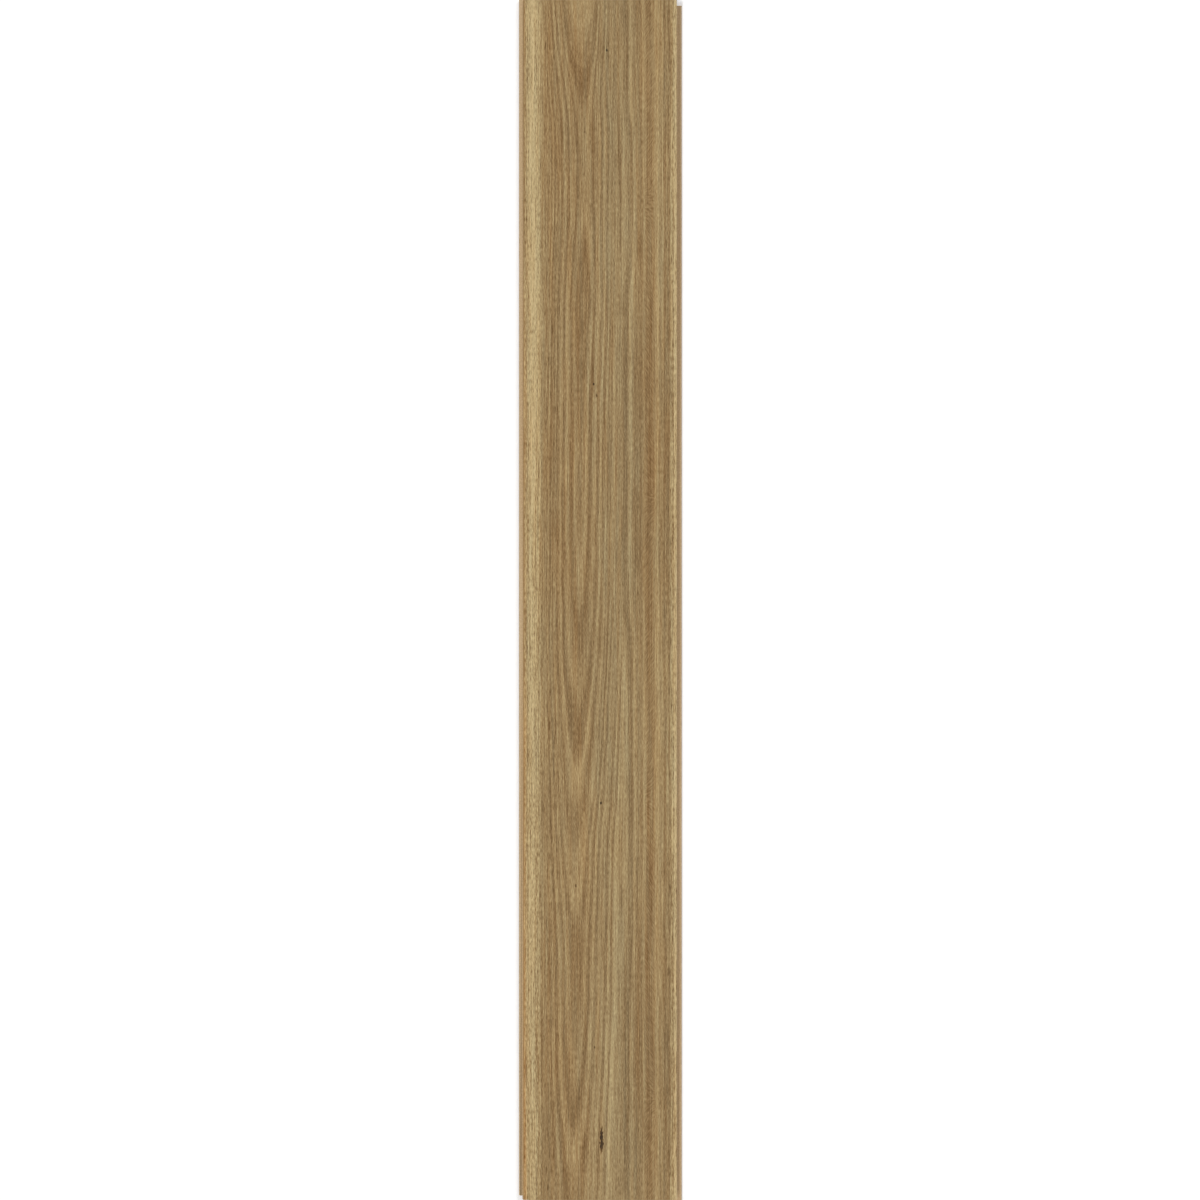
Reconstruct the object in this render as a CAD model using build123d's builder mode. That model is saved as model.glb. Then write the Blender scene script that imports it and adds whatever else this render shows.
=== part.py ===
from build123d import *
import os
from math import radians, sin, tan

# Laminate floor plank: one pressed board with a click joint milled into its four edges.
# It lies flat with the face up. X runs across the plank and Y along it. The origin is on the
# underside, below the middle of the face. The tongues are on the -X and +Y edges, and the
# grooves that take them are on the +X and -Y edges.

# Board
face_length = 1210.0
face_width = 155.0
thickness = 12.0
bevel = 0.6  # small bevel along both long edges of the face

# Groove and the lip under it
slot_height = 4.3
slot_corner = 0.6  # radius in the bottom corners of the slot
lower_lip = 4.5  # board left under the slot
lip_reach = 5.0  # how far the lip stands out past the edge of the face
lip_nose = 1.0  # rounding that leads the next tongue over the lip

# Tongue
tongue_reach = 4.2  # how far the tongue stands out past the edge of the face
tongue_nose = 1.3  # rounding of the two corners of the tongue

# Lock between the lip and the underside of the tongue
hollow_depth = 1.2  # below the slot's floor
hollow_start = 0.8  # from the edge of the face back into the slot
hollow_round = 1.1  # round that the next plank turns on while it is clicked in
lock_start = 1.8  # from the edge of the face out to the foot of the lock face
lock_height = 1.0
lock_slope = 55.0  # degrees from level

# Fits and cutting
fit = 0.1  # clearance between mating faces
end_gap = 0.4  # room left past the nose of the tongue and past the tip of the lip
rebate_corner = 0.4  # radius in the back corner of the rebate under the tongue
saw_allowance = 2.0  # blank left all round for the cutters to take off
overrun = 1.0  # how far a cutter passes the faces of the blank

# Levels of the groove edge, above the underside
slot_roof = lower_lip + slot_height
hollow_floor = lower_lip - hollow_depth
crest = hollow_floor + lock_height

# Levels and reaches of the tongue edge, which fits that groove
tongue_top = slot_roof - fit
tongue_bottom = lower_lip + fit
belly_bottom = hollow_floor + fit
rebate_roof = crest + fit
rebate_depth = lip_reach + end_gap
slot_depth = tongue_reach + end_gap
lock_clearance = fit / sin(radians(lock_slope))
belly_round = min(hollow_round, hollow_depth - fit)  # the round ends within its wall

# Outer limits of every cutter, past the faces of the blank
cut_out = max(tongue_reach, lip_reach) + saw_allowance + overrun
cut_top = thickness + overrun
cut_bottom = -overrun


def lock_face(height):
    """Distance out from the edge of the face to the lock face, at a height above the underside."""
    return lock_start + (height - hollow_floor) / tan(radians(lock_slope))


def edge_plane(outward, reach):
    """Plane square to one edge of the face, with its x axis pointing out of the board and y up."""
    return Plane(origin=outward * reach, x_dir=outward, z_dir=outward.cross(Vector(0, 0, 1)))


def cutter_face(plane, corners):
    """Section of a cutter, from corners that each give the distance out, the height and a radius."""
    with BuildSketch(plane) as section:
        with BuildLine():
            FilletPolyline(
                [(out, up) for out, up, radius in corners],
                radius=[radius for out, up, radius in corners],
                close=True,
            )
        make_face()
    return section.sketch


def groove_cutter(plane):
    """What the groove cutters take away: the slot, the hollow and lock above the lip, and its tip."""
    corners = [
        (0, cut_top, 0),
        (0, slot_roof, 0),
        (-slot_depth, slot_roof, slot_corner),
        (-slot_depth, lower_lip, slot_corner),
        (-hollow_start, lower_lip, 0),
        (-hollow_start, hollow_floor, belly_round),
        (lock_start, hollow_floor, 0),
        (lock_face(crest), crest, 0),
        (lip_reach, crest, lip_nose),
        (lip_reach, cut_bottom, 0),
        (cut_out, cut_bottom, 0),
        (cut_out, cut_top, 0),
    ]
    return cutter_face(plane, corners)


def tongue_cutter(plane):
    """What the tongue cutters take away: all round the tongue, and the rebate for the next lip."""
    corners = [
        (0, cut_top, 0),
        (0, tongue_top, 0),
        (tongue_reach, tongue_top, tongue_nose),
        (tongue_reach, tongue_bottom, tongue_nose),
        (hollow_start - fit, tongue_bottom, 0),
        (hollow_start - fit, belly_bottom, belly_round),
        (lock_clearance - lock_face(belly_bottom), belly_bottom, 0),
        (lock_clearance - lock_face(rebate_roof), rebate_roof, 0),
        (-rebate_depth, rebate_roof, rebate_corner),
        (-rebate_depth, cut_bottom, 0),
        (cut_out, cut_bottom, 0),
        (cut_out, cut_top, 0),
    ]
    return cutter_face(plane, corners)


right_edge = edge_plane(Vector(1, 0, 0), face_width / 2)
left_edge = edge_plane(Vector(-1, 0, 0), face_width / 2)
tongue_end = edge_plane(Vector(0, 1, 0), face_length / 2)
groove_end = edge_plane(Vector(0, -1, 0), face_length / 2)

# Half the run of a cutter along a long edge and along an end, past both ends of the blank
long_run = face_length / 2 + cut_out
end_run = face_width / 2 + cut_out

with BuildPart() as floor_plank:
    # Blank sawn from the pressed sheet, with room on each edge for its tongue or lip
    with BuildSketch():
        Rectangle(face_width + 2 * (cut_out - overrun), face_length + 2 * (cut_out - overrun))
    extrude(amount=thickness)

    # The long edges are milled first, then the ends are milled across them
    extrude(groove_cutter(right_edge), amount=long_run, both=True, mode=Mode.SUBTRACT)
    extrude(tongue_cutter(left_edge), amount=long_run, both=True, mode=Mode.SUBTRACT)
    extrude(groove_cutter(groove_end), amount=end_run, both=True, mode=Mode.SUBTRACT)
    extrude(tongue_cutter(tongue_end), amount=end_run, both=True, mode=Mode.SUBTRACT)

    # Each lip stops at the rebate of the corner that it shares with a tongue
    lip_corner = (face_width / 2, face_length / 2 - rebate_depth)
    tongue_corner = (rebate_depth - face_width / 2, -face_length / 2)
    with BuildSketch():
        with Locations(lip_corner):
            Rectangle(cut_out, rebate_depth + cut_out, align=Align.MIN)
        with Locations(tongue_corner):
            Rectangle(rebate_depth + cut_out, cut_out, align=Align.MAX)
    extrude(amount=thickness, mode=Mode.SUBTRACT)

    # Small bevels along the long edges of the face
    face = floor_plank.faces().filter_by(Plane.XY).sort_by(Axis.Z)[-1]
    chamfer(face.edges().filter_by(Axis.Y), length=bevel)

floor_plank.part.label = "floor_plank"

os.makedirs("parts", exist_ok=True)
export_step(floor_plank.part, "parts/floor_plank.step")
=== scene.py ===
from math import pi, radians, sin

import bmesh
import bpy
from mathutils import Euler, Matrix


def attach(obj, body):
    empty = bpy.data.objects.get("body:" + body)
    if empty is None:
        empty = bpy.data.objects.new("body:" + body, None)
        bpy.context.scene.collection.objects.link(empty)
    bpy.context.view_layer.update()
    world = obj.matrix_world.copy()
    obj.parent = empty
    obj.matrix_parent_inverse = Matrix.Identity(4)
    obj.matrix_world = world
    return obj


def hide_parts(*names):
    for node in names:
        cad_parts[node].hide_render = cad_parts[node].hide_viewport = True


bl_info = {
    "name": "Laminate Floor Plank",
    "version": (1, 0, 0),
    "blender": (4, 5, 0),
    "location": "3D View > Sidebar > Floor Plank",
    "description": "Builds a laminate floor plank with an embossed wood face, and a plain stage",
    "category": "Add Mesh",
}

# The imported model, in metres: X across the plank, Y along it, Z up out of the face
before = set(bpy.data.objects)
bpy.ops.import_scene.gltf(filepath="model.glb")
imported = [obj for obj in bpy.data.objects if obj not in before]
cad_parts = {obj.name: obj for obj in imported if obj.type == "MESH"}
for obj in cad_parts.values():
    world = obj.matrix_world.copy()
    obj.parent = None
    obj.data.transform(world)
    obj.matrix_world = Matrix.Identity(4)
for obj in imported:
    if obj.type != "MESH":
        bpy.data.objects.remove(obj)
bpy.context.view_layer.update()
PLANK_NODE = "floor_plank"
BODY = "root"

MM = 0.001
LEVEL_SLACK = 0.01 * MM  # how far from a level a corner may lie and still count as on it
WELD_REACH = 0.001 * MM  # corners of the CAD mesh that lie this close are one corner


def face_rectangle():
    """Half width, half length and height of the flat face, inside its bevels, from the CAD mesh."""
    corners = [vertex.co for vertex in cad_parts[PLANK_NODE].data.vertices]
    height = max(corner.z for corner in corners)
    top = [corner for corner in corners if corner.z > height - LEVEL_SLACK]
    return max(corner.x for corner in top), max(corner.y for corner in top), height


FACE_HALF_WIDTH, FACE_HALF_LENGTH, FACE_HEIGHT = face_rectangle()
# The same three in millimetres
FACE_SIDE = FACE_HALF_WIDTH / MM
FACE_END = FACE_HALF_LENGTH / MM
FACE_TOP = FACE_HEIGHT / MM

# Wood figure of the printed face. Places are in millimetres from the middle of the face, X across
# and Y along. Tones are lightness in percent.

# Line that the growth rings are centred on, as (along, across)
PITH_LINE = (
    (-605, -27),
    (-505, -26),
    (-455, -25.2),
    (-400, -24.2),
    (-350, -24.2),
    (-250, -24.9),
    (-200, -23.6),
    (-150, -22.9),
    (-100, -22.7),
    (0, -20.7),
    (100, -19.7),
    (200, -18.9),
    (300, -16.9),
    (350, -15.9),
    (400, -14.9),
    (455, -14.9),
    (505, -16.9),
    (545, -18.4),
    (605, -20),
)
# Square of the depth of the rings' centre under the face, as (along, square). Rings close where it
# grows, and below 0 the face runs inside the innermost ring.
PITH_DEPTH = (
    (-605, 1170),
    (-560, 1110),
    (-514, 1000),
    (-464, 920),
    (-403, 855),
    (-353, 830),
    (-302, 755),
    (-252, 670),
    (-202, 530),
    (-151, 400),
    (-101, 285),
    (-50, 168),
    (0, 112),
    (100, 65),
    (200, 64),
    (255, 30),
    (302, 12),
    (343, 40),
    (373, 70),
    (403, 92),
    (444, 88),
    (474, 80),
    (494, 66),
    (506, 45),
    (517, 18),
    (529, -14),
    (540, -60),
    (553, -125),
    (575, -190),
    (605, -275),
)
RING_TONE = 50  # tone that the rings vary about
RING_CONTRAST = 1.55

# Tones of the rings to the left and right of the pith, as (radius, tone). Inside the innermost ring
# the radius is below 0.
LEFT_RINGS = (
    (-16, 55),
    (-13.5, 54.5),
    (-10, 51.5),
    (-7, 51),
    (-3.5, 48),
    (1, 47.5),
    (4, 47),
    (7.5, 51),
    (9.6, 52),
    (11.4, 48.3),
    (15.5, 53.5),
    (18.6, 48),
    (22, 54),
    (24.6, 47.5),
    (26.6, 52.5),
    (28.6, 49),
    (30.1, 52),
    (31.3, 47),
    (33, 54.5),
    (34.8, 47.5),
    (36.7, 53.5),
    (38.4, 49),
    (40.2, 51.5),
    (42.4, 49),
    (46, 50),
)
RIGHT_RINGS = (
    (-16, 55),
    (-13.5, 54.5),
    (-10, 51.5),
    (-7, 51),
    (-3.5, 48),
    (1, 47.5),
    (4, 47),
    (7.5, 51.5),
    (9.6, 53.5),
    (11.4, 47.3),
    (15.5, 53),
    (18.6, 48.5),
    (21.7, 54),
    (24.3, 48),
    (26.6, 54),
    (28.4, 49.5),
    (30, 52),
    (31.3, 46),
    (33, 55),
    (34.8, 48.5),
    (36.7, 54),
    (38, 51.5),
    (39.6, 53.5),
    (41.3, 48.5),
    (43.4, 55),
    (45.4, 49),
    (47.6, 56),
    (49.6, 55),
    (52, 51.5),
)
CORE_SOFTNESS = 16  # rounds off the radius at the innermost ring
PITH_BLEND = 4  # half width of the strip in which left and right rings meet
# The outer rings on the right fade towards one tone in the far half of the face
FAINT_RADIUS = (27.5, 29.5)
FAINT_RUN = (-100, 40)  # along
FAINT_SHARE = 0.75
FAINT_TONE = 51

# Single lines of the grain, as (half width, tone, ((along, across), ...))
GRAIN_LINES = (
    (1.0, -8, ((335, 18.2), (375, 20.3), (423, 19.8), (464, 18.4), (505, 16.9))),
    (0.9, 5, ((-10, 13), (40, 14.8), (130, 14.8), (220, 13.9), (280, 13.9), (340, 15.5), (500, 16))),
    (0.7, -6, ((-425, 16.1), (-365, 16.7))),
    (0.6, 5, ((-250, -63), (-80, -63.5), (40, -62), (110, -61.4), (200, -61.5))),
    (0.6, 5, ((-540, -60.2), (-430, -60), (-360, -60.6))),
    (0.9, -4, ((-600, -58.4), (-450, -58.2), (-330, -58.8))),
)
LINE_FALL = (0.2, 1.4)  # a line fades between these shares of its half width
LINE_TAPER = 30  # length over which a line fades at each end

# Straight-grained stripes along both edges, as (across, tone)
STRIPES = (
    (-77.5, 56),
    (-72.8, 60),
    (-71.3, 62),
    (-68.3, 66),
    (-65.8, 64),
    (-63.8, 60),
    (-60.7, 57.5),
    (-57.5, 53),
    (-53.5, 52.5),
    (-48.6, 49.5),
    (-46.6, 52),
    (-43.6, 49.5),
    (-39.6, 51.5),
    (18, 52),
    (21.4, 56),
    (24, 53),
    (27.5, 47.5),
    (30, 47),
    (32.8, 57),
    (35, 51),
    (38, 49),
    (42, 49),
    (44.1, 55.5),
    (46.3, 49),
    (49.2, 47),
    (51.5, 48),
    (55.2, 54),
    (57.7, 58),
    (60.8, 53),
    (62.6, 54.5),
    (65.3, 48),
    (67.3, 51.5),
    (69.4, 48.5),
    (72.4, 59.5),
    (73.9, 57.5),
    (75.7, 69),
    (77.5, 69),
)
LEFT_STRAIGHT = (-58, -48)  # where the left stripes give way to rings, across
RIGHT_STRAIGHT = (18, 26)  # where the rings give way to the right stripes
# Sideways drift of the stripes next to the rings on the right, as (along, drift)
STRIPE_DRIFT = (
    (-605, -2),
    (-400, -1),
    (-340, 2.5),
    (-250, 3),
    (-120, 2),
    (-80, 2.5),
    (-20, -1),
    (50, -3),
    (270, -3),
    (340, 1.5),
    (410, 2.5),
    (480, 0),
    (520, -2.5),
    (605, -2),
)
DRIFT_BAND = (12, 22, 28, 45)  # where the drift starts, is full, fades and ends, across

# The left sapwood grows paler along the plank, and its rim a little darker
SAPWOOD_GAIN = 3.5
RIM_GAIN = -0.6  # share of the gain at the rim
SAPWOOD_RIM = (-76, -69)
SAPWOOD_FADE = (-62, -52)

# The right stripes swell, and the interlocked grain among them turns, in waves along the plank
WAVE = 96  # millimetres for each radian of the wave
SWELL_TOP = 440  # a place along the plank where the stripes are palest
SWELL_TONE = 1.8
SWELL_EDGE = (16, 26)
HATCH_TOP = 252  # a place along the plank where the hatch leans fully
HATCH_TURN = 0.4  # height of the wave from which the lean is full
HATCH_LEAN = 1.75  # shift along the plank for each millimetre across
HATCH_MIDDLE = 50  # across
HATCH_SHARE = 0.6  # of the fine grain in its band

# Small dark specks and streaks, and the gum vein, as (across, along, half width, half length, darkness)
SPECKS = (
    (6.8, 554.3, 1.0, 1.8, 42),
    (6.8, 557, 0.9, 15, 6),
    (-15.4, 472, 0.7, 1.5, 14),
    (-6.3, 217.7, 1.0, 1.7, 36),
    (-3.3, 206, 0.8, 2.0, 24),
    (0.9, -204.7, 1.1, 1.9, 42),
    (0.9, -202, 0.9, 15, 6),
    (-24.4, -288, 0.9, 2.2, 26),
    (-5.3, -451, 0.8, 1.7, 22),
    (-6.8, 222, 1.6, 18, 8),
    (-15, -546, 2.2, 12, 5),
)
GUM_VEIN = (1.6, -544, 2.0, 15.5, 41)
SPECK_FALL = (0.2, 1.0)  # a speck fades between these squares of its radius

# Bands across the face, as (start, full, fade, end)
RIBBON_BAND = (44, 46, 54, 56)  # interlocked grain
POROUS_BAND = (-60, -55, -45, -36)
COOL_BAND = (-4, 8, 30, 40)
WARM_BAND = (44, 48, 56, 60)
LEFT_WARM_BAND = (-60, -54, -20, -6)
# Edges of bands that run on to the side of the face, as (start, end)
LEFT_SAPWOOD = (-64, -56)
RIGHT_SAPWOOD = (70, 74)
RIGHT_PORES = (64, 72)
WARM_EDGE = (-76, -73)

# Layers of noise, as (waves per millimetre across, waves per millimetre along, seed, detail)
SLOW_BEND = (0.012, 0.006, 11, 0)
QUICK_BEND = (0.03, 0.02, 12, 0)
RING_LINES = (0.5, 0.002, 21, 1)
STRIPE_LINES = (0.5, 0.002, 22, 1)
STREAKS = (1.1, 0.012, 31, 1)
FIBRES = (1.5, 0.22, 32, 1)
PORES = (1.7, 0.06, 33, 0)
CLOUDS = (0.03, 0.005, 34, 1)
PORE_PATCHES = (0.04, 0.01, 35, 0)
HAIRS = (1.6, 0.035, 36, 1)
HUE_STREAKS = (0.3, 0.01, 37, 1)
HAIRLINES = (6, 0.12, 38, 2)
HUE_DRIFT = (0.09, 0.003, 39, 0)
RAGGED_EDGE = (0.8, 0.3, 51, 1)
GROOVES = (0.45, 0.02, 61, 0)
# These two are given in the order of the coordinates that they are laid over
RIBBON_HATCH = (0.45, 0.28, 42, 1)  # along the slant, across
CUTTER_LINES = (2.2, 0.004, 73, 1)  # up the edge of the board, along it

# Sideways shift of the figure for each unit of a layer's noise, in millimetres
SLOW_BEND_REACH = 1.5
QUICK_BEND_REACH = 0.8
RAGGED_REACH = 4
# Long lines take the tone from the first value to the second as their noise crosses its span
LINE_NOISE = (-0.1, 0.25)
LINE_TONES = (-1.5, 3.5)
# Tone for each unit of a layer's noise
STREAK_TONE = 22
HAIR_TONE = 26
FIBRE_TONE = 32
HAIRLINE_TONE = 24
HATCH_TONE = 48
CLOUD_TONE = 6
SAPWOOD_GRAIN = 0.8  # how much stronger the grain is in the sapwood
# Pores stand where their noise is high. They are stronger in patches and in the porous bands.
PORE_NOISE = (0.14, 0.22)
PATCH_NOISE = (-0.1, 0.25)
PATCH_STRENGTH = (0.1, 0.6)
RIGHT_PORE_STRENGTH = 1.5
PORE_TONE = 9  # tone that a pore of strength 1 takes off
# Steps of coolness, and how the warm left edge fades along the plank
COOL_STEP = 0.6
WARM_STEP = 0.6
LEFT_WARM_STEP = 0.3
WARM_EDGE_RUN = (-500, 500)
WARM_EDGE_STEP = (3.2, 0.8)
HUE_STREAK_STEP = 4
HUE_DRIFT_STEP = 1.2
# Embossed grooves follow the dark streaks
GROOVE_STREAKS = 3.0
GROOVE_SPREAD = 2.5
GROOVE_LEVEL = 0.2


def srgb(red, green, blue):
    """Scene-linear colour from the 0 to 255 values of a colour picker."""
    return tuple(((value / 255 + 0.055) / 1.055) ** 2.4 for value in (red, green, blue))


# Fields: values over the surface, made of nodes


def plug(tree, value, socket):
    """Feed a socket from a field, from another socket, or with a plain value."""
    if isinstance(value, Field):
        value = value.socket
    if isinstance(value, bpy.types.NodeSocket):
        tree.links.new(value, socket)
    else:
        socket.default_value = value


def add_node(tree, kind, inputs=None, **settings):
    """New node with its settings and its inputs, given by name or number."""
    node = tree.nodes.new(kind)
    for name, value in settings.items():
        setattr(node, name, value)
    for key, value in (inputs or {}).items():
        plug(tree, value, node.inputs[key])
    return node


class Field:
    """A value that varies over the surface. Arithmetic on it adds Math nodes to its tree."""

    def __init__(self, tree, socket):
        self.tree = tree
        self.socket = socket

    def math(self, operation, *others):
        node = add_node(self.tree, "ShaderNodeMath", operation=operation)
        for socket, value in zip(node.inputs, (self, *others)):
            plug(self.tree, value, socket)
        return Field(self.tree, node.outputs[0])

    def __add__(self, other):
        return self.math("ADD", other)

    def __sub__(self, other):
        return self.math("SUBTRACT", other)

    def __mul__(self, other):
        return self.math("MULTIPLY", other)

    def __truediv__(self, other):
        return self.math("DIVIDE", other)

    def size(self):
        """The value without its sign."""
        return self.math("ABSOLUTE")

    def mix(self, other, share):
        """This field where share is 0 or less, and the other where it is 1 or more."""
        node = add_node(self.tree, "ShaderNodeMix", {0: share, 2: self, 3: other})
        return Field(self.tree, node.outputs[0])

    def ramp(self, low, high, to_low=0.0, to_high=1.0, kind="SMOOTHSTEP"):
        """Goes from to_low to to_high as this field goes from low to high, and stays there."""
        values = {0: self, 1: low, 2: high, 3: to_low, 4: to_high}
        node = add_node(self.tree, "ShaderNodeMapRange", values, interpolation_type=kind)
        return Field(self.tree, node.outputs[0])

    def band(self, start, full, fade, end):
        """1 between full and fade, falling to 0 at start and at end."""
        return self.ramp(start, full) * self.ramp(fade, end, 1, 0)

    def curve(self, points):
        """Smooth line through points given as (this field, result)."""
        places = [place for place, result in points]
        results = [result for place, result in points]
        low, high = places[0], places[-1]
        bottom, top = min(results), max(results)
        node = add_node(self.tree, "ShaderNodeFloatCurve")
        plug(self.tree, self.ramp(low, high, kind="LINEAR"), node.inputs["Value"])
        line = node.mapping.curves[0]
        spots = [((p - low) / (high - low), (r - bottom) / (top - bottom)) for p, r in points]
        line.points[0].location = spots[0]
        line.points[-1].location = spots[-1]
        for spot in spots[1:-1]:
            line.points.new(*spot)
        for point in line.points:
            point.handle_type = "AUTO_CLAMPED"
        node.mapping.extend = "HORIZONTAL"
        node.mapping.update()
        return Field(self.tree, node.outputs[0]) * (top - bottom) + bottom


def coordinates(tree, position):
    """Fields of the three coordinates of a position, in millimetres."""
    split = add_node(tree, "ShaderNodeSeparateXYZ", {0: position})
    return [Field(tree, socket) / MM for socket in split.outputs]


def noise(x, y, seed, detail):
    """Smooth noise about 0, with one wave for each unit of x and of y."""
    place = add_node(x.tree, "ShaderNodeCombineXYZ", {0: x, 1: y, 2: seed})
    values = {"Vector": place.outputs[0], "Scale": 1.0, "Detail": detail}
    node = add_node(x.tree, "ShaderNodeTexNoise", values)
    return Field(x.tree, node.outputs[0]) - 0.5


def layer(x, y, values):
    """A layer of noise over two coordinates, from its row of values."""
    x_waves, y_waves, seed, detail = values
    return noise(x * x_waves, y * y_waves, seed, detail)


def speck(x, y, across, along, half_width, half_length):
    """1 in the middle of a small oval, falling to 0 at its edge."""
    wide = (x - across) / half_width
    long = (y - along) / half_length
    return (wide * wide + long * long).ramp(*SPECK_FALL, 1, 0)


# Printed wood figure


def ring_tones(x, y):
    """Tone of the growth rings, and the ring radius, from the pith's line and depth."""
    offset = x - y.curve(PITH_LINE)
    square = offset * offset + y.curve(PITH_DEPTH)
    radius = square / (square.size() + CORE_SOFTNESS).math("SQRT")
    right = offset.ramp(-PITH_BLEND, PITH_BLEND)
    tone = radius.curve(LEFT_RINGS).mix(radius.curve(RIGHT_RINGS), right)
    faint = radius.ramp(*FAINT_RADIUS) * y.ramp(*FAINT_RUN, 0, FAINT_SHARE) * right
    tone = tone.mix(FAINT_TONE, faint)
    return (tone - RING_TONE) * RING_CONTRAST + RING_TONE, radius


def stripe_tones(x, y):
    """Tone of the straight grain along both edges."""
    gain = y.ramp(-FACE_END, FACE_END, -SAPWOOD_GAIN, SAPWOOD_GAIN, "LINEAR")
    gain = gain * x.ramp(*SAPWOOD_RIM, RIM_GAIN, 1) * x.ramp(*SAPWOOD_FADE, 1, 0)
    drift = y.curve(STRIPE_DRIFT) * x.band(*DRIFT_BAND)
    swell = ((y - SWELL_TOP) / WAVE).math("COSINE") * x.ramp(*SWELL_EDGE) * SWELL_TONE
    return (x - drift).curve(STRIPES) + gain + swell


def ribbon_hatch(x, y):
    """Short slanting streaks of interlocked grain, whose lean swaps along the plank."""
    wave = ((y - HATCH_TOP) / WAVE).math("COSINE")
    lean = wave.ramp(-HATCH_TURN, HATCH_TURN, -HATCH_LEAN, HATCH_LEAN)
    return layer(y + (x - HATCH_MIDDLE) * lean, x, RIBBON_HATCH)


def pore_marks(x, across, y):
    """Pores of the print, 0 between them and up to about 2 where they are strongest."""
    patches = layer(across, y, PORE_PATCHES).ramp(*PATCH_NOISE, *PATCH_STRENGTH)
    strength = x.band(*POROUS_BAND) + x.ramp(*RIGHT_PORES) * RIGHT_PORE_STRENGTH + patches
    return layer(x, y, PORES).ramp(*PORE_NOISE) * strength


def with_grain_lines(tone, x, y):
    """The tone with the single lines of the grain added."""
    core, edge = LINE_FALL
    for half_width, line_tone, points in GRAIN_LINES:
        start, end = points[0][0], points[-1][0]
        distance = (x - y.curve(points)).size()
        line = distance.ramp(core * half_width, edge * half_width, line_tone, 0)
        tone = tone + line * y.band(start, start + LINE_TAPER, end - LINE_TAPER, end)
    return tone


def with_specks(tone, x, y):
    """The tone with the dark specks and the ragged gum vein taken off it."""
    for *oval, darkness in SPECKS:
        tone = tone - speck(x, y, *oval) * darkness
    ragged = x + layer(x, y, RAGGED_EDGE) * RAGGED_REACH
    *oval, darkness = GUM_VEIN
    return tone - speck(ragged, y, *oval) * darkness


def print_coolness(x, y):
    """How cool the hue of the print is, below 0 where it is warm."""
    cool = x.band(*COOL_BAND) * COOL_STEP
    warm = x.band(*WARM_BAND) * WARM_STEP + x.band(*LEFT_WARM_BAND) * LEFT_WARM_STEP
    warm = warm + x.ramp(*WARM_EDGE, 1, 0) * y.ramp(*WARM_EDGE_RUN, *WARM_EDGE_STEP)
    streaks = layer(x, y, HUE_STREAKS) * HUE_STREAK_STEP
    return cool - warm + streaks + layer(x, y, HUE_DRIFT) * HUE_DRIFT_STEP


def wood_figure(tree, position):
    """Tone of the print from 0 to 1, how cool its hue is, and its embossed depth from 0 to 1."""
    across, along, _ = coordinates(tree, position)
    x = across + layer(across, along, SLOW_BEND) * SLOW_BEND_REACH
    x = x + layer(across, along, QUICK_BEND) * QUICK_BEND_REACH

    # Rings in the middle and stripes along both edges
    straight = x.ramp(*LEFT_STRAIGHT, 1, 0) + x.ramp(*RIGHT_STRAIGHT)
    rings, radius = ring_tones(x, along)
    tone = rings.mix(stripe_tones(x, along), straight)
    lines = layer(radius, along, RING_LINES).mix(layer(x, along, STRIPE_LINES), straight)
    tone = tone + lines.ramp(*LINE_NOISE, *LINE_TONES)

    # Fine grain, which is stronger in the sapwood
    sapwood = x.ramp(*LEFT_SAPWOOD, 1, 0) + x.ramp(*RIGHT_SAPWOOD)
    streaks = layer(x, along, STREAKS)
    fine = layer(x, along, HAIRS) * HAIR_TONE + layer(x, along, FIBRES) * FIBRE_TONE
    fine = fine + layer(x, along, HAIRLINES) * HAIRLINE_TONE
    fine = fine.mix(ribbon_hatch(x, along) * HATCH_TONE, x.band(*RIBBON_BAND) * HATCH_SHARE)
    tone = tone + (streaks * STREAK_TONE + fine) * (sapwood * SAPWOOD_GRAIN + 1)
    tone = tone + layer(across, along, CLOUDS) * CLOUD_TONE

    # Single marks
    pores = pore_marks(x, across, along)
    tone = with_grain_lines(tone - pores * PORE_TONE, x, along)
    tone = with_specks(tone, across, along)

    grooves = streaks * -GROOVE_STREAKS - layer(x, along, GROOVES) * GROOVE_SPREAD
    return {
        "Tone": tone / 100,
        "Coolness": print_coolness(x, along),
        "Emboss": (grooves + GROOVE_LEVEL).ramp(0, 1).mix(1, pores),
    }


def wood_print_group():
    """Shader group that turns a position on the face into the print's tone, coolness and emboss."""
    group = bpy.data.node_groups.new("Wood Print", "ShaderNodeTree")
    group.interface.new_socket("Position", in_out="INPUT", socket_type="NodeSocketVector")
    inside = add_node(group, "NodeGroupInput")
    outside = add_node(group, "NodeGroupOutput")
    for name, field in wood_figure(group, inside.outputs["Position"]).items():
        group.interface.new_socket(name, in_out="OUTPUT", socket_type="NodeSocketFloat")
        plug(group, field, outside.inputs[name])
    return group


# Fibre fleck of the board, as (seed, detail, contrast)
COARSE_FLECK = (71, 3, 0.9)
FINE_FLECK = (72, 2, 0.8)
FINE_FLECK_WAVES = 3  # to one wave of the coarse fleck
FLECK_MEAN = 0.5
# The height is mixed in at slants, so that no side of the board shows streaks
SLANT_ACROSS = 0.7
SLANT_ALONG = 0.4


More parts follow.
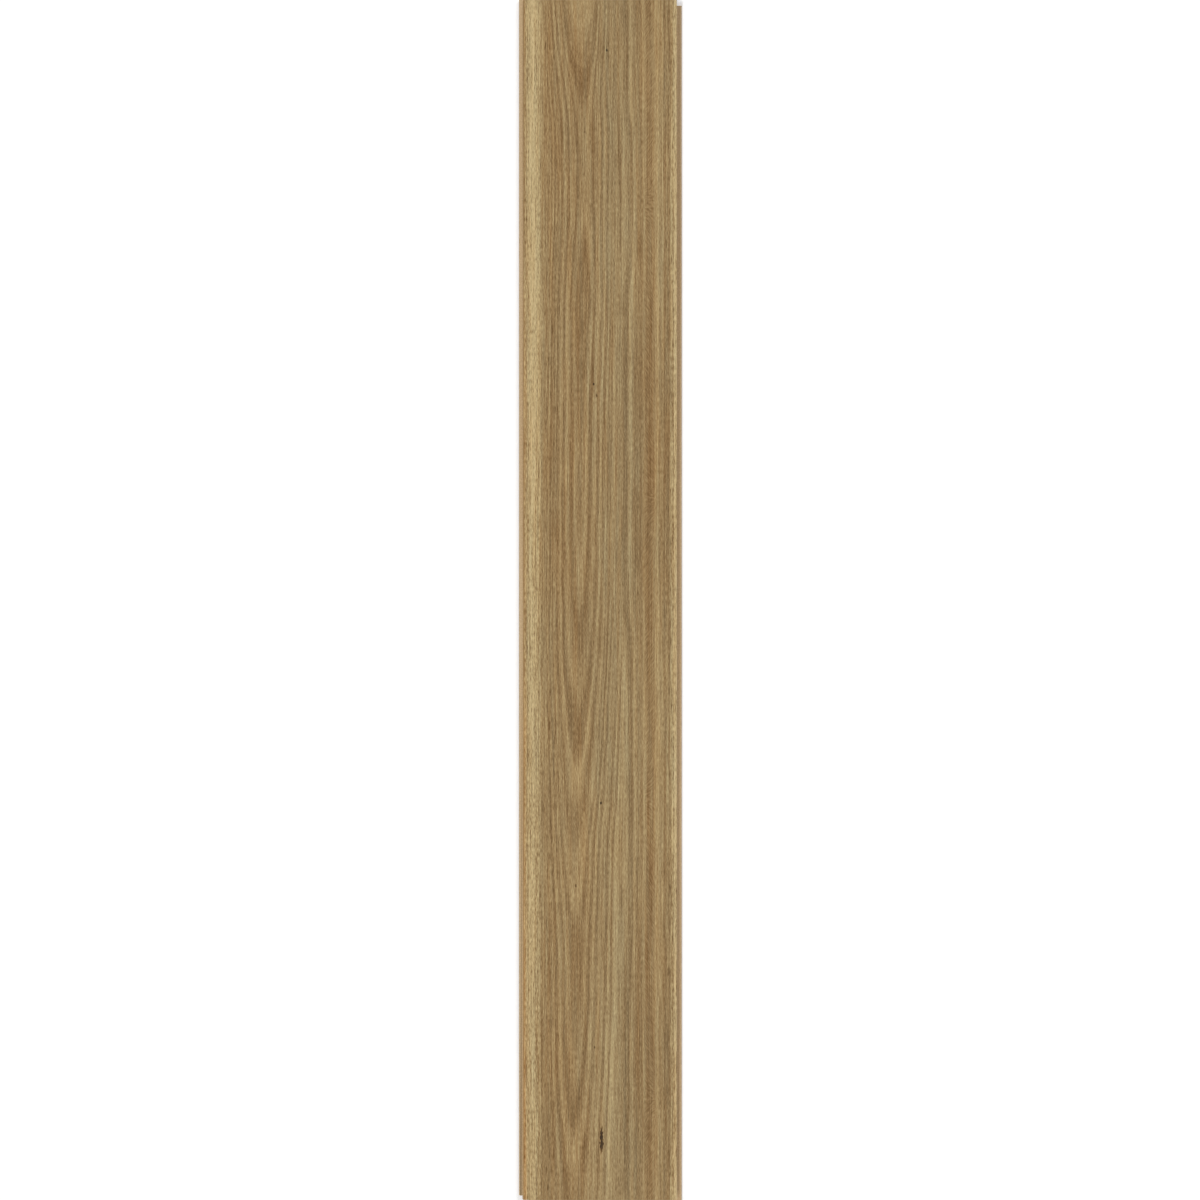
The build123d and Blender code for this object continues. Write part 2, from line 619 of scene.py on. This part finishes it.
def board_fleck_group():
    """Shader group of the fine fibre fleck that pressed board and paper both show."""
    group = bpy.data.node_groups.new("Board Fleck", "ShaderNodeTree")
    group.interface.new_socket("Position", in_out="INPUT", socket_type="NodeSocketVector")
    spacing = group.interface.new_socket("Spacing", in_out="INPUT", socket_type="NodeSocketFloat")
    spacing.default_value = 1.0
    group.interface.new_socket("Fleck", in_out="OUTPUT", socket_type="NodeSocketFloat")
    inside = add_node(group, "NodeGroupInput")
    outside = add_node(group, "NodeGroupOutput")
    x, y, z = coordinates(group, inside.outputs["Position"])
    gap = Field(group, inside.outputs["Spacing"])
    seed, detail, contrast = COARSE_FLECK
    across = x + z * SLANT_ACROSS
    along = y - z * SLANT_ALONG
    fleck = noise(across / gap, along / gap, seed, detail) * contrast
    seed, detail, contrast = FINE_FLECK
    fine_gap = gap / FINE_FLECK_WAVES
    fleck = fleck + noise((x - z) / fine_gap, (y + z) / fine_gap, seed, detail) * contrast
    plug(group, fleck + FLECK_MEAN, outside.inputs["Fleck"])
    return group


# Materials

# Tone of the print at which each colour of the decor stands
PRINT_TONES = {
    "gum": 0.08,
    "pore": 0.35,
    "late_wood": 0.46,
    "early_wood": 0.55,
    "sapwood": 0.65,
    "pale_sapwood": 0.73,
}
HUE_TURN = 0.005  # turn of the hue for each step of coolness
HUE_FADE = 0.05  # saturation lost for each step of coolness
EMBOSS_BUMP = 0.3  # share of the emboss in the bump, beside 1 for the tone
FACE_BUMP = 0.04 * MM
FACE_ROUGHNESS = (0.48, 0.64)  # on the face and in its deepest grooves
FACE_SPECULAR = 0.25
BEVEL_BLUR = 0.1  # millimetres on each side of the bevel's edge

# Milled fibreboard. Its spacing, depth, thicknesses and blur are in millimetres.
CORE_FLECK = 2.0  # spacing of its fleck
CORE_LIGHT = (0.1, 0.9)  # lightness of the dark and of the light fibres
SKIN_DEPTH = 2.5  # the board is denser and darker near its faces
SKIN_DARKNESS = 0.35
CUTTER_CONTRAST = 0.5
DECOR_SHEET = 0.4  # thickness of the sheet on the face
BACKING_SHEET = 0.2  # thickness of the sheet on the underside
SHEET_BLUR = 0.05
CORE_BUMP = 0.05 * MM
CORE_ROUGHNESS = (0.72, 0.9)
CORE_SPECULAR = 0.3

# Backing sheet
BACKING_FLECK = 6.0  # spacing of its fleck, in millimetres
BACKING_LIGHT = (0.15, 0.85)  # lightness of the dark and of the light fleck
BACKING_BUMP = 0.02 * MM
BACKING_ROUGHNESS = (0.5, 0.65)


def new_material(name):
    """Material with one Principled shader, and its tree."""
    material = bpy.data.materials.new(name)
    material.use_nodes = True
    tree = material.node_tree
    return material, tree, tree.nodes["Principled BSDF"]


def object_place(tree):
    """Place on the object, in its own coordinates."""
    return add_node(tree, "ShaderNodeTexCoord").outputs["Object"]


def colour_ramp(tree, factor, stops):
    """Colour Ramp node through stops given as (place, colour)."""
    node = add_node(tree, "ShaderNodeValToRGB", {0: factor})
    elements = node.color_ramp.elements
    elements.remove(elements[0])
    elements[0].position = stops[0][0]
    elements[0].color = (*stops[0][1], 1)
    for place, colour in stops[1:]:
        elements.new(place).color = (*colour, 1)
    return node.outputs["Color"]


def colour_mix(tree, share, first, second):
    """First colour, from a socket, where share is 0, and the plain second colour where it is 1."""
    values = {0: share, 6: first, 7: (*second, 1)}
    return add_node(tree, "ShaderNodeMix", values, data_type="RGBA").outputs[2]


def surface_bump(tree, shader, height, distance):
    """Bump of a real depth on a shader's normal."""
    values = {"Strength": 1.0, "Distance": distance, "Height": height}
    plug(tree, add_node(tree, "ShaderNodeBump", values).outputs[0], shader.inputs["Normal"])


def board_fleck(tree, place, group, spacing):
    """Fleck of the board, from 0 to 1, with a spacing in millimetres."""
    values = {"Position": place, "Spacing": spacing}
    node = add_node(tree, "ShaderNodeGroup", values, node_tree=group)
    return Field(tree, node.outputs["Fleck"])


def printed_face_material(decor):
    """Printed wood under a satin wear layer, with a stained line along the left bevel."""
    material, tree, shader = new_material("printed_wood_face")
    place = object_place(tree)
    grain = add_node(tree, "ShaderNodeGroup", {"Position": place}, node_tree=wood_print_group())
    tone = Field(tree, grain.outputs["Tone"])
    coolness = Field(tree, grain.outputs["Coolness"])
    emboss = Field(tree, grain.outputs["Emboss"])
    stops = [(stop, getattr(decor, name)) for name, stop in PRINT_TONES.items()]
    shift = {
        "Hue": coolness * HUE_TURN + 0.5,
        "Saturation": coolness * -HUE_FADE + 1,
        "Color": colour_ramp(tree, tone, stops),
    }
    tinted = add_node(tree, "ShaderNodeHueSaturation", shift).outputs[0]
    x, _, _ = coordinates(tree, place)
    bevel = x.ramp(-FACE_SIDE - BEVEL_BLUR, -FACE_SIDE + BEVEL_BLUR, 1, 0)
    plug(tree, colour_mix(tree, bevel, tinted, decor.bevel), shader.inputs["Base Color"])
    plug(tree, emboss.ramp(0, 1, *FACE_ROUGHNESS, "LINEAR"), shader.inputs["Roughness"])
    surface_bump(tree, shader, tone - emboss * EMBOSS_BUMP, FACE_BUMP)
    shader.inputs["Specular IOR Level"].default_value = FACE_SPECULAR
    return material


def fibreboard_material(decor, fleck_group):
    """Milled fibreboard: fleck, cutter lines, denser skins, and the two sheets at its edges."""
    material, tree, shader = new_material("milled_fibreboard")
    place = object_place(tree)
    fibres = board_fleck(tree, place, fleck_group, CORE_FLECK)
    x, y, z = coordinates(tree, place)
    middle = FACE_TOP / 2
    skins = (z - middle).size().ramp(middle - SKIN_DEPTH, middle, 0, SKIN_DARKNESS)
    light = fibres - skins + layer(z, x + y, CUTTER_LINES) * CUTTER_CONTRAST
    stops = list(zip(CORE_LIGHT, (decor.core_dark, decor.core_light)))
    board = colour_ramp(tree, light, stops)
    decor_sheet_foot = FACE_TOP - DECOR_SHEET
    sheets = z.ramp(decor_sheet_foot - SHEET_BLUR, decor_sheet_foot + SHEET_BLUR)
    sheets = sheets + z.ramp(BACKING_SHEET - SHEET_BLUR, BACKING_SHEET + SHEET_BLUR, 1, 0)
    plug(tree, colour_mix(tree, sheets, board, decor.sheet_edge), shader.inputs["Base Color"])
    plug(tree, fibres.ramp(0, 1, *CORE_ROUGHNESS, "LINEAR"), shader.inputs["Roughness"])
    surface_bump(tree, shader, light, CORE_BUMP)
    shader.inputs["Specular IOR Level"].default_value = CORE_SPECULAR
    return material


def backing_material(decor, fleck_group):
    """Plain balancing sheet under the board, a hard paper with a faint fleck."""
    material, tree, shader = new_material("backing_sheet")
    fibres = board_fleck(tree, object_place(tree), fleck_group, BACKING_FLECK)
    stops = list(zip(BACKING_LIGHT, (decor.backing_dark, decor.backing_light)))
    plug(tree, colour_ramp(tree, fibres, stops), shader.inputs["Base Color"])
    plug(tree, fibres.ramp(0, 1, *BACKING_ROUGHNESS, "LINEAR"), shader.inputs["Roughness"])
    surface_bump(tree, shader, fibres, BACKING_BUMP)
    return material


# Board

PRINTED, MILLED, BACKING = range(3)  # material slots of the board
BEVEL_FACING = 0.3  # a face that looks up more than this belongs to a bevel, not to a wall


def embossed_face_tree():
    """Geometry Nodes tree of the wear face: a fine grid pressed down along the printed grain."""
    tree = bpy.data.node_groups.new("Embossed Wear Face", "GeometryNodeTree")
    tree.interface.new_socket("Geometry", in_out="OUTPUT", socket_type="NodeSocketGeometry")
    kinds = {
        "Width": "NodeSocketFloat",
        "Length": "NodeSocketFloat",
        "Height": "NodeSocketFloat",
        "Columns": "NodeSocketInt",
        "Rows": "NodeSocketInt",
        "Emboss Depth": "NodeSocketFloat",
        "Plain Margin": "NodeSocketFloat",
        "Material": "NodeSocketMaterial",
    }
    for name, kind in kinds.items():
        tree.interface.new_socket(name, in_out="INPUT", socket_type=kind)
    sizes = add_node(tree, "NodeGroupInput").outputs
    cells = {
        "Size X": sizes["Width"],
        "Size Y": sizes["Length"],
        "Vertices X": sizes["Columns"],
        "Vertices Y": sizes["Rows"],
    }
    grid = add_node(tree, "GeometryNodeMeshGrid", cells)
    position = add_node(tree, "GeometryNodeInputPosition").outputs[0]
    place = add_node(tree, "ShaderNodeSeparateXYZ", {0: position})
    margin = Field(tree, sizes["Plain Margin"])
    to_side = Field(tree, sizes["Width"]) / 2 - Field(tree, place.outputs["X"]).size()
    to_end = Field(tree, sizes["Length"]) / 2 - Field(tree, place.outputs["Y"]).size()
    inner = to_side.math("MINIMUM", to_end).ramp(0, margin)
    pressed = wood_figure(tree, position)["Emboss"] * inner * Field(tree, sizes["Emboss Depth"])
    level = Field(tree, sizes["Height"]) - pressed
    lift = add_node(tree, "ShaderNodeCombineXYZ", {2: level}).outputs[0]
    raised = add_node(tree, "GeometryNodeSetPosition", {"Geometry": grid.outputs[0], "Offset": lift})
    whole = add_node(tree, "GeometryNodeRealizeInstances", {"Geometry": raised.outputs[0]})
    dressed = add_node(tree, "GeometryNodeSetMaterial", {"Geometry": whole.outputs[0]})
    plug(tree, sizes["Material"], dressed.inputs["Material"])
    plug(tree, dressed.outputs[0], add_node(tree, "NodeGroupOutput").inputs[0])
    return tree


def embossed_face_mesh(board, material):
    """Plain mesh of the wear face, set in from the edges of the flat face by the border."""
    holder = bpy.data.objects.new("wear_face", bpy.data.meshes.new("wear_face"))
    bpy.context.scene.collection.objects.link(holder)
    modifier = holder.modifiers.new("Emboss", "NODES")
    modifier.node_group = embossed_face_tree()
    values = {
        "Width": 2 * (FACE_HALF_WIDTH - board.border),
        "Length": 2 * (FACE_HALF_LENGTH - board.border),
        "Height": FACE_HEIGHT,
        "Columns": board.columns,
        "Rows": board.rows,
        "Emboss Depth": board.emboss_depth,
        "Plain Margin": board.plain_margin,
        "Material": material,
    }
    for item in modifier.node_group.interface.items_tree:
        if item.in_out == "INPUT":
            modifier[item.identifier] = values[item.name]
    ready = holder.evaluated_get(bpy.context.evaluated_depsgraph_get())
    mesh = bpy.data.meshes.new_from_object(ready)
    bpy.data.objects.remove(holder)
    return mesh


def on_level(face, height):
    """Whether every corner of a face lies at that height."""
    return all(abs(vertex.co.z - height) < LEVEL_SLACK for vertex in face.verts)


def board_mesh(board, face_mesh):
    """The CAD board with its flat face replaced by the embossed one."""
    shape = bmesh.new()
    shape.from_mesh(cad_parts[PLANK_NODE].data)
    bmesh.ops.remove_doubles(shape, verts=shape.verts, dist=WELD_REACH)
    flat = [face for face in shape.faces if on_level(face, FACE_HEIGHT)]
    bmesh.ops.delete(shape, geom=flat, context="FACES")
    for face in shape.faces:
        high = max(vertex.co.z for vertex in face.verts)
        bevelled = high > FACE_HEIGHT - LEVEL_SLACK and face.normal.z > BEVEL_FACING
        face.material_index = PRINTED if bevelled else BACKING if high < LEVEL_SLACK else MILLED
    face_mesh.polygons.foreach_set("material_index", [PRINTED] * len(face_mesh.polygons))
    shape.from_mesh(face_mesh)
    rims = [edge for edge in shape.edges if edge.is_boundary]
    border = bmesh.ops.triangle_fill(shape, edges=rims, use_beauty=False, normal=(0, 0, 1))
    for face in border["geom"]:
        if isinstance(face, bmesh.types.BMFace):
            face.material_index = PRINTED
    open_edges = [edge for edge in shape.edges if not edge.is_manifold]
    if open_edges:
        raise RuntimeError(f"the board has {len(open_edges)} open edges")
    mesh = bpy.data.meshes.new("floor_plank_board")
    shape.to_mesh(mesh)
    shape.free()
    mesh.shade_smooth()
    mesh.set_sharp_from_angle(angle=board.sharp_angle)
    return mesh


# Settings


class FloorPlankBoardSettings(bpy.types.PropertyGroup):
    """Sizes of the embossed face."""

    emboss_depth: bpy.props.FloatProperty(
        name="Emboss Depth",
        description="Deepest point of the pressed grain under the face",
        default=0.06 * MM,
        subtype="DISTANCE",
        unit="LENGTH",
        precision=5,
    )
    plain_margin: bpy.props.FloatProperty(
        name="Plain Margin",
        description="Width over which the emboss fades out towards the edges of the face",
        default=3 * MM,
        subtype="DISTANCE",
        unit="LENGTH",
    )
    border: bpy.props.FloatProperty(
        name="Border",
        description="Flat strip left between the embossed grid and the edges of the face",
        default=0.5 * MM,
        subtype="DISTANCE",
        unit="LENGTH",
        precision=4,
    )
    columns: bpy.props.IntProperty(
        name="Columns",
        description="Points of the embossed grid across the face",
        default=256,
        min=2,
    )
    rows: bpy.props.IntProperty(
        name="Rows",
        description="Points of the embossed grid along the face",
        default=360,
        min=2,
    )
    sharp_angle: bpy.props.FloatProperty(
        name="Sharp Angle",
        description="Edges that turn by more than this are shaded sharp",
        default=radians(30),
        subtype="ANGLE",
        unit="ROTATION",
    )


def colour_property(name, description, *values):
    """Colour setting whose default is given as 0 to 255 values of a colour picker."""
    return bpy.props.FloatVectorProperty(
        name=name,
        description=description,
        subtype="COLOR",
        size=3,
        min=0,
        max=1,
        default=srgb(*values),
    )


class FloorPlankDecorSettings(bpy.types.PropertyGroup):
    """Colours of the print, the milled board and the backing."""

    gum: colour_property("Gum", "Gum vein and specks", 38, 30, 20)
    pore: colour_property("Pore", "Pores and darkest grain", 108, 81, 46)
    late_wood: colour_property("Late Wood", "Dark side of a growth ring", 136, 109, 71)
    early_wood: colour_property("Early Wood", "Light side of a growth ring", 160, 134, 92)
    sapwood: colour_property("Sapwood", "Pale wood along the edge", 184, 160, 114)
    pale_sapwood: colour_property("Pale Sapwood", "Palest streaks", 204, 181, 134)
    bevel: colour_property("Bevel", "Stained line along the left bevel", 165, 131, 86)
    core_dark: colour_property("Core Dark", "Dark fibres of the board", 168, 139, 101)
    core_light: colour_property("Core Light", "Light fibres of the board", 205, 180, 141)
    sheet_edge: colour_property("Sheet Edge", "Edge of the decor and backing sheets", 120, 92, 62)
    backing_dark: colour_property("Backing Dark", "Dark fleck of the backing sheet", 168, 150, 122)
    backing_light: colour_property("Backing Light", "Light fleck of the backing sheet", 200, 184, 156)


class FloorPlankStageSettings(bpy.types.PropertyGroup):
    """Camera, light and floor."""

    view_height: bpy.props.FloatProperty(
        name="View Height",
        description="How far the camera stands above the face",
        default=12,
        subtype="DISTANCE",
        unit="LENGTH",
    )
    sensor: bpy.props.FloatProperty(
        name="Sensor",
        description="Width of the camera's sensor",
        default=36,
        subtype="DISTANCE_CAMERA",
        unit="CAMERA",
    )
    floor_size: bpy.props.FloatProperty(
        name="Floor Size",
        description="Side of the square floor",
        default=30,
        subtype="DISTANCE",
        unit="LENGTH",
    )
    floor_gap: bpy.props.FloatProperty(
        name="Floor Gap",
        description="How far the floor lies below the underside",
        default=0.1 * MM,
        subtype="DISTANCE",
        unit="LENGTH",
        precision=5,
    )
    floor_colour: colour_property("Floor", "Colour of the floor", 240, 240, 240)
    floor_glow: bpy.props.FloatProperty(
        name="Floor Glow",
        description="Light added to the floor as the camera and reflections see it",
        default=0.2,
        min=0,
    )
    sky_strength: bpy.props.FloatProperty(
        name="Sky Strength",
        description="Share of the light that comes evenly from all round",
        default=0.35,
        min=0,
        max=1,
    )
    key_share: bpy.props.FloatProperty(
        name="Key Share",
        description="Share of the lamps' light that comes from the key lamp",
        default=0.6,
        min=0,
        max=1,
        subtype="FACTOR",
    )
    key_turn: bpy.props.FloatProperty(
        name="Key Turn",
        description="Turn of the key lamp about the plank; the fill lamp stands opposite",
        default=radians(-15),
        subtype="ANGLE",
        unit="ROTATION",
    )
    lamp_rise: bpy.props.FloatProperty(
        name="Lamp Rise",
        description="Angle of the lamps above the floor",
        default=radians(42),
        subtype="ANGLE",
        unit="ROTATION",
    )
    lamp_softness: bpy.props.FloatProperty(
        name="Lamp Softness",
        description="Angle that each lamp fills, as seen from the plank",
        default=radians(25),
        subtype="ANGLE",
        unit="ROTATION",
    )


class FloorPlankSettings(bpy.types.PropertyGroup):
    """All settings of the floor plank."""

    board: bpy.props.PointerProperty(type=FloorPlankBoardSettings)
    decor: bpy.props.PointerProperty(type=FloorPlankDecorSettings)
    stage: bpy.props.PointerProperty(type=FloorPlankStageSettings)


# Pieces and stage


class FLOORPLANK_OT_add_board(bpy.types.Operator):
    """Build the board with its embossed face and its three finishes"""

    bl_idname = "floor_plank.add_board"
    bl_label = "Add Board"

    def execute(self, context):
        settings = context.scene.floor_plank
        fleck_group = board_fleck_group()
        materials = (
            printed_face_material(settings.decor),
            fibreboard_material(settings.decor, fleck_group),
            backing_material(settings.decor, fleck_group),
        )
        face = embossed_face_mesh(settings.board, materials[PRINTED])
        mesh = board_mesh(settings.board, face)
        bpy.data.meshes.remove(face)
        for material in materials:
            mesh.materials.append(material)
        board = bpy.data.objects.new("floor_plank_board", mesh)
        context.scene.collection.objects.link(board)
        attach(board, BODY)
        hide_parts(PLANK_NODE)
        return {"FINISHED"}


FLOOR_ROUGHNESS = 0.9
GAP_REACH = 10  # a ray that meets the floor within this many gaps comes from the underside
CLIP_REACH = 10  # how far the camera sees, in view heights


def add_floor(stage):
    """Pale floor under the plank, which reads as white from above and is clear from below."""
    half = stage.floor_size / 2
    level = -stage.floor_gap
    corners = [(-half, -half, level), (half, -half, level), (half, half, level), (-half, half, level)]
    mesh = bpy.data.meshes.new("stage_floor")
    mesh.from_pydata(corners, [], [range(len(corners))])
    floor = bpy.data.objects.new("stage_floor", mesh)
    bpy.context.scene.collection.objects.link(floor)

    material, tree, shader = new_material("pale_floor")
    shader.inputs["Base Color"].default_value = (*stage.floor_colour, 1)
    shader.inputs["Roughness"].default_value = FLOOR_ROUGHNESS
    shader.inputs["Specular IOR Level"].default_value = 0.0
    shader.inputs["Emission Color"].default_value = (1, 1, 1, 1)
    path = add_node(tree, "ShaderNodeLightPath").outputs
    seen = Field(tree, path["Is Camera Ray"]) + Field(tree, path["Is Glossy Ray"])
    seen = seen + Field(tree, path["Is Transmission Ray"])
    plug(tree, seen * stage.floor_glow, shader.inputs["Emission Strength"])

    # Clear to a view from below, and to the light that reaches the underside through the gap
    from_below = Field(tree, add_node(tree, "ShaderNodeNewGeometry").outputs["Backfacing"])
    from_gap = Field(tree, path["Ray Length"]).math("LESS_THAN", GAP_REACH * stage.floor_gap)
    clear = add_node(tree, "ShaderNodeBsdfTransparent").outputs[0]
    shares = {0: from_below.math("MAXIMUM", from_gap), 1: shader.outputs[0], 2: clear}
    one_sided = add_node(tree, "ShaderNodeMixShader", shares).outputs[0]
    plug(tree, one_sided, tree.nodes["Material Output"].inputs["Surface"])
    mesh.materials.append(material)


def add_lamp(name, strength, rise, turn, softness):
    """Soft lamp far away, at an angle above the floor and turned about the plank."""
    light = bpy.data.lights.new(name, "SUN")
    light.energy = strength
    light.angle = softness
    lamp = bpy.data.objects.new(name, light)
    lamp.rotation_euler = Euler((radians(90) - rise, 0, turn))
    bpy.context.scene.collection.objects.link(lamp)


def add_light(stage):
    """Even sky and two soft lamps, which together render a level surface at its own colour."""
    world = bpy.data.worlds.new("studio")
    world.use_nodes = True
    sky = world.node_tree.nodes["Background"].inputs
    sky["Color"].default_value = (1, 1, 1, 1)
    sky["Strength"].default_value = stage.sky_strength
    bpy.context.scene.world = world
    full_light = pi  # the lamp strength at which a white surface facing it renders white
    lamps = full_light * (1 - stage.sky_strength) / sin(stage.lamp_rise)
    key = lamps * stage.key_share
    fill_turn = stage.key_turn + radians(180)
    add_lamp("key_lamp", key, stage.lamp_rise, stage.key_turn, stage.lamp_softness)
    add_lamp("fill_lamp", lamps - key, stage.lamp_rise, fill_turn, stage.lamp_softness)


def add_camera(stage):
    """Camera straight above the face, whose frame is as high as the face is long."""
    data = bpy.data.cameras.new("photo_camera")
    data.sensor_width = stage.sensor
    data.lens = stage.sensor * stage.view_height / (2 * FACE_HALF_LENGTH)
    data.clip_end = CLIP_REACH * stage.view_height
    camera = bpy.data.objects.new("photo_camera", data)
    camera.location = (0, 0, FACE_HEIGHT + stage.view_height)
    bpy.context.scene.collection.objects.link(camera)
    bpy.context.scene.camera = camera


class FLOORPLANK_OT_add_stage(bpy.types.Operator):
    """Build the floor, the light and the camera above the plank"""

    bl_idname = "floor_plank.add_stage"
    bl_label = "Add Stage"

    def execute(self, context):
        stage = context.scene.floor_plank.stage
        add_floor(stage)
        add_light(stage)
        add_camera(stage)
        context.scene.view_settings.view_transform = "Standard"
        return {"FINISHED"}


class FLOORPLANK_PT_sidebar(bpy.types.Panel):
    """Settings and build buttons of the floor plank"""

    bl_idname = "FLOORPLANK_PT_sidebar"
    bl_label = "Floor Plank"
    bl_space_type = "VIEW_3D"
    bl_region_type = "UI"
    bl_category = "Floor Plank"

    def draw(self, context):
        settings = context.scene.floor_plank
        for title, group, operator in (
            ("Board", settings.board, FLOORPLANK_OT_add_board),
            ("Decor", settings.decor, None),
            ("Stage", settings.stage, FLOORPLANK_OT_add_stage),
        ):
            box = self.layout.box()
            box.label(text=title)
            for name in group.__annotations__:
                box.prop(group, name)
            if operator:
                box.operator(operator.bl_idname)


CLASSES = (
    FloorPlankBoardSettings,
    FloorPlankDecorSettings,
    FloorPlankStageSettings,
    FloorPlankSettings,
    FLOORPLANK_OT_add_board,
    FLOORPLANK_OT_add_stage,
    FLOORPLANK_PT_sidebar,
)


def register():
    for cls in CLASSES:
        bpy.utils.register_class(cls)
    bpy.types.Scene.floor_plank = bpy.props.PointerProperty(type=FloorPlankSettings)


def unregister():
    del bpy.types.Scene.floor_plank
    for cls in reversed(CLASSES):
        bpy.utils.unregister_class(cls)


def main():
    register()
    bpy.ops.floor_plank.add_board()
    bpy.ops.floor_plank.add_stage()


if __name__ == "__main__":
    main()
